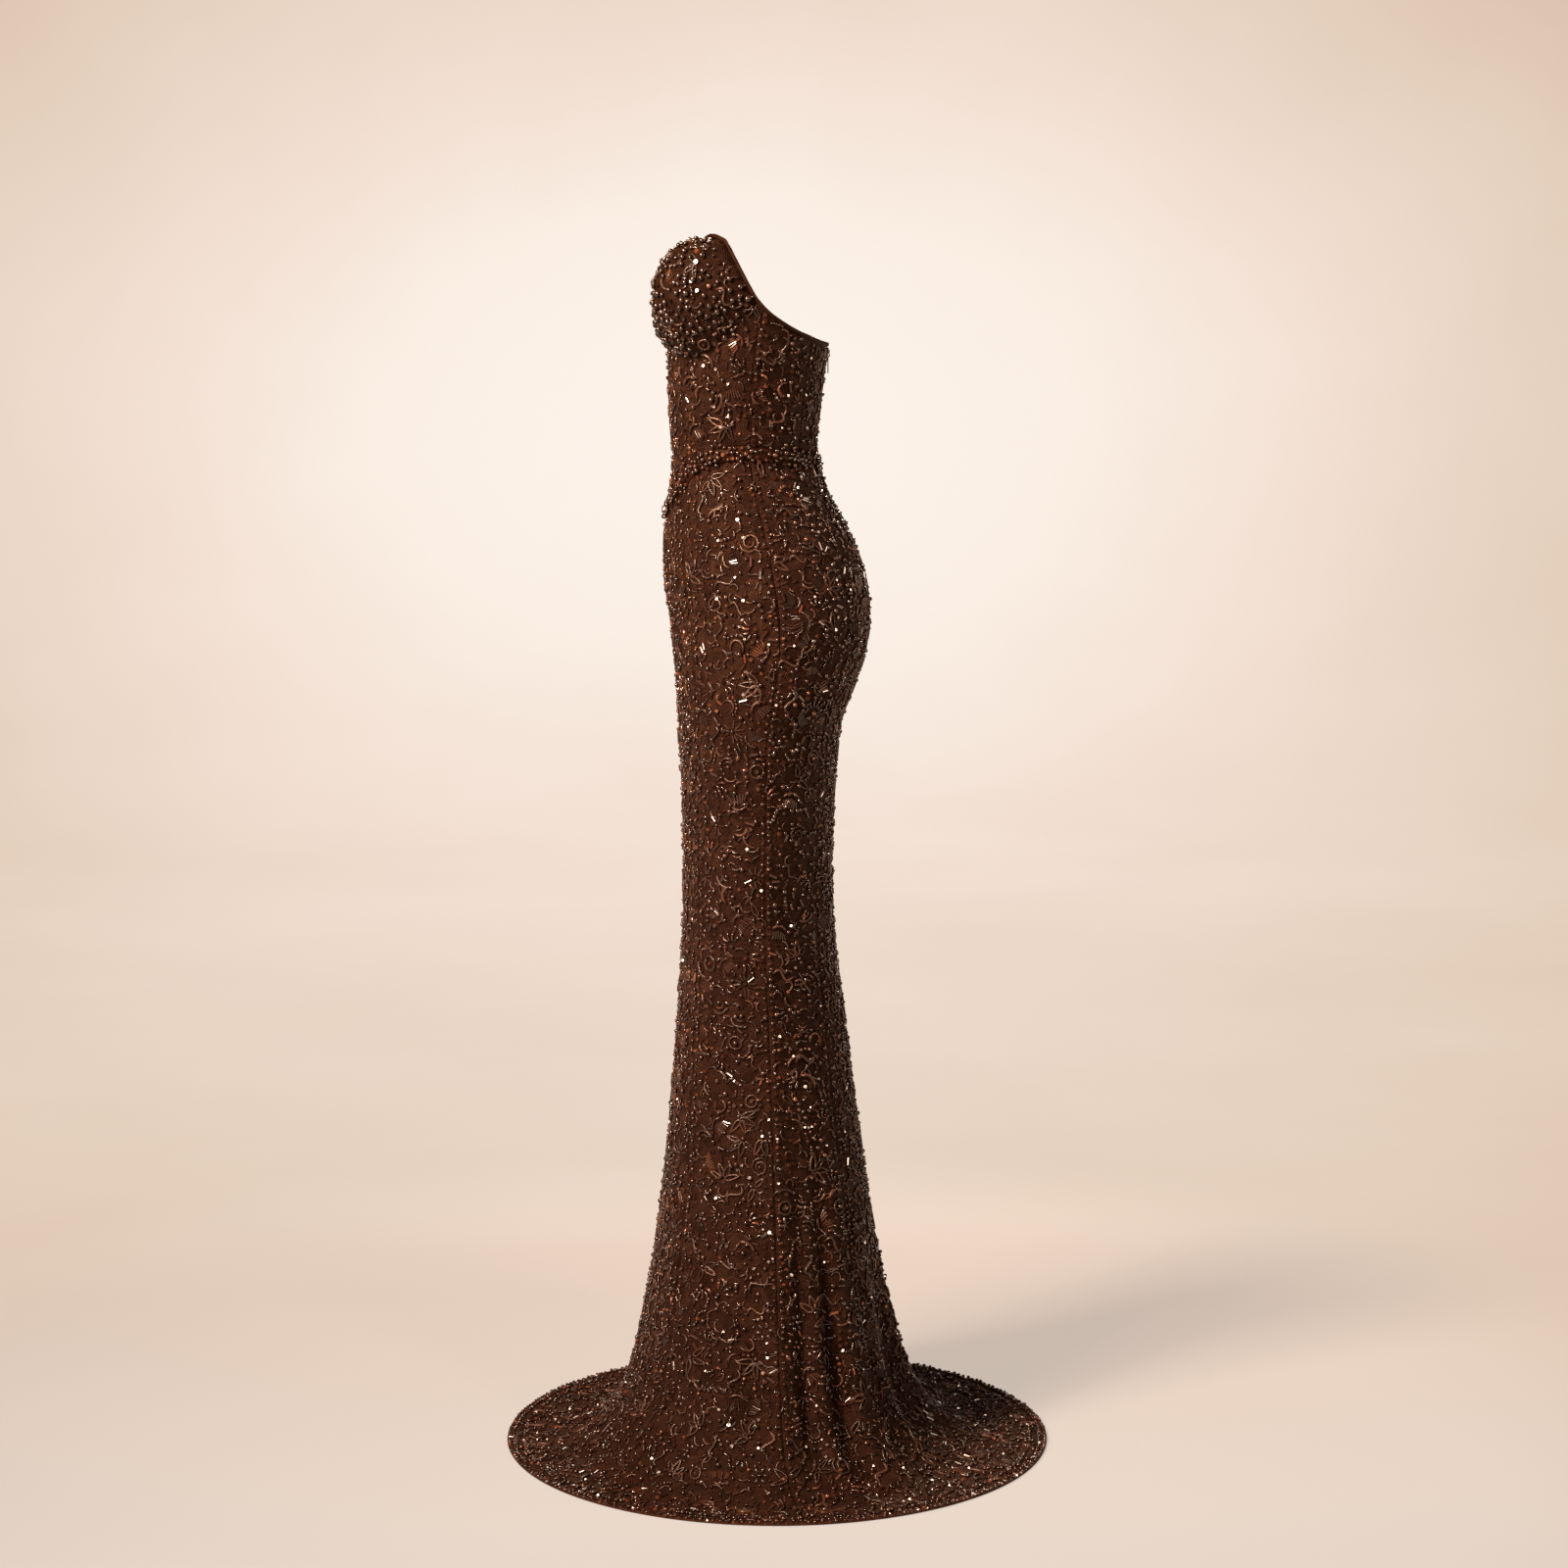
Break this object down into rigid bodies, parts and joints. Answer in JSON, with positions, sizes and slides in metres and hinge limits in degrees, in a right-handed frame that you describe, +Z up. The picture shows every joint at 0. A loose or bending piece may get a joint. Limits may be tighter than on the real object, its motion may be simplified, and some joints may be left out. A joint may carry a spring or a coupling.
{
  "type": "evening gown",
  "caption": "Strapless floor-length gown of beaded cloth in its worn shape: moulded cups, pointed basque waist, narrow skirt flaring to a round train, open at neck and hem.",
  "frame": {"origin": "centre of the wearer's natural waist, inside the gown, where the wearer holds it up", "axes": "+Z up along the body, -Y towards the gown's front, +X towards the wearer's left"},
  "size_m": [0.6536, 0.6536, 1.4381],
  "materials": {
    "beaded_satin": "dark brown satin and net, closely covered with cord, bugle and round bead work",
    "beaded_cord": "very dark brown binding, rolled and closely beaded",
    "zip_metal": "dark bronze enamel"
  },
  "bodies": {
    "gown": {"cup_left": "beaded_satin", "cup_right": "beaded_satin", "bodice_front": "beaded_satin", "bodice_side_front_left": "beaded_satin", "bodice_side_front_right": "beaded_satin", "bodice_side_back_left": "beaded_satin", "bodice_side_back_right": "beaded_satin", "bodice_back_left": "beaded_satin", "bodice_back_right": "beaded_satin", "neckline_binding": "beaded_cord", "basque_band": "beaded_cord", "skirt_front": "beaded_satin", "skirt_side_front_left": "beaded_satin", "skirt_side_front_right": "beaded_satin", "skirt_side_back_left": "beaded_satin", "skirt_side_back_right": "beaded_satin", "skirt_back_left": "beaded_satin", "skirt_back_right": "beaded_satin", "hem_band": "beaded_cord", "zip_slider": "zip_metal"},
    "zip_tab": {"zip_tab": "zip_metal"}
  },
  "joints": [
    {"name": "tab_swing", "type": "hinge", "parent": "gown", "child": "zip_tab", "pos_m": [0, 0.09754, 0.12056], "axis": [1, 0, 0], "range_deg": [0, 150]}
  ]
}
